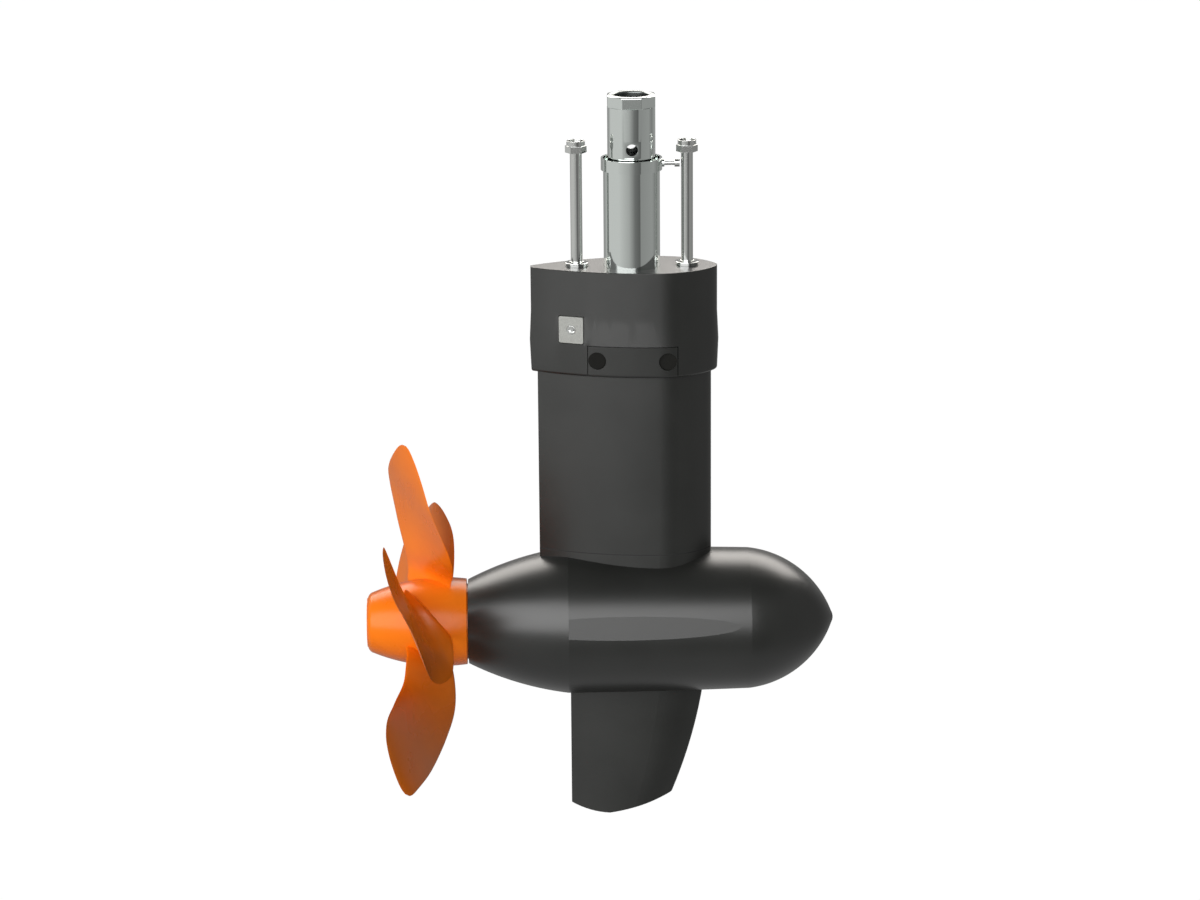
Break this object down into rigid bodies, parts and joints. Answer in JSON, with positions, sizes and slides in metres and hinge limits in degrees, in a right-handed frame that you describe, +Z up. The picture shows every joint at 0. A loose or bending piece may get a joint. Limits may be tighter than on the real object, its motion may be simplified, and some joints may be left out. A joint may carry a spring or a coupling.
{
  "type": "electric outboard motor",
  "caption": "Electric pod drive hung under a hull on a stem and strut, with fin, flush anode, torpedo motor pod and pusher propeller.",
  "frame": {"origin": "on the stem's axis, at the head's hull face, midway between the two hull studs", "axes": "+Z up into the boat along the stem, +X ahead, from the propeller to the nose, +Y to port"},
  "size_m": [0.4821, 0.3595, 0.7601],
  "materials": {
    "cast_coating": "satin dark grey coating on cast aluminium",
    "propeller_orange": "satin moulded orange composite",
    "polished_stainless": "mirror polished",
    "stainless_fastener": "bright turned",
    "anode_zinc": "bare sacrificial metal, matt",
    "black_plug": "moulded",
    "seal_rubber": "moulded",
    "bush_bronze": "turned",
    "shaft_steel": "ground",
    "bearing_steel": "ground",
    "bare_aluminium": "machined",
    "core_steel": "laminated sheet",
    "copper": "enamelled wire",
    "magnet_nickel": "plated",
    "board_green": "solder mask",
    "component_black": "moulded"
  },
  "bodies": {
    "housing": {"head_casting": "cast_coating", "clamp_cover_starboard": "cast_coating", "clamp_cover_port": "cast_coating", "leg": "cast_coating", "motor_housing": "cast_coating", "rear_cone": "cast_coating", "nose_cone": "cast_coating", "stem_tube": "polished_stainless", "stem_collar": "polished_stainless", "cable_conduit": "polished_stainless", "conduit_nut": "polished_stainless", "hull_studs": "stainless_fastener", "stud_washers": "stainless_fastener", "stud_nuts": "stainless_fastener", "anode_screw": "stainless_fastener", "clamp_bolts": "stainless_fastener", "clamp_nuts": "stainless_fastener", "leg_bolts": "stainless_fastener", "board_screws": "stainless_fastener", "seal_retainer": "stainless_fastener", "anode": "anode_zinc", "bolt_plugs": "black_plug", "stud_nut_inserts": "black_plug", "leg_top_gasket": "seal_rubber", "leg_bottom_gasket": "seal_rubber", "rear_cone_seal": "seal_rubber", "nose_seal": "seal_rubber", "shaft_seals": "seal_rubber", "conduit_bushes": "bush_bronze", "rear_bearing_outer": "bearing_steel", "front_bearing_outer": "bearing_steel", "rear_bracket": "bare_aluminium", "front_bracket": "bare_aluminium", "heat_spreader": "bare_aluminium", "stator_core": "core_steel", "stator_windings": "copper", "phase_leads": "copper", "control_board": "board_green", "hall_ring": "board_green", "power_modules": "component_black", "capacitors": "component_black"},
    "propeller_shaft": {"prop_shaft": "shaft_steel", "shaft_circlip": "stainless_fastener", "rotor_core": "core_steel", "rotor_magnets": "magnet_nickel", "rear_bearing_inner": "bearing_steel", "rear_bearing_balls": "bearing_steel", "front_bearing_inner": "bearing_steel", "front_bearing_balls": "bearing_steel", "propeller": "propeller_orange", "drive_pin": "stainless_fastener", "thrust_washer": "bush_bronze", "prop_nut": "stainless_fastener", "prop_cap": "propeller_orange"},
    "lock_screw": {"lock_screw": "stainless_fastener"}
  },
  "joints": [
    {"name": "prop_spin", "type": "hinge", "parent": "housing", "child": "propeller_shaft", "pos_m": [0, 0, -0.375], "axis": [1, 0, 0], "continuous": true},
    {"name": "lock_screw_travel", "type": "slide", "parent": "housing", "child": "lock_screw", "axis": [1, 0, 0], "range_m": [0, 0.0012]}
  ]
}
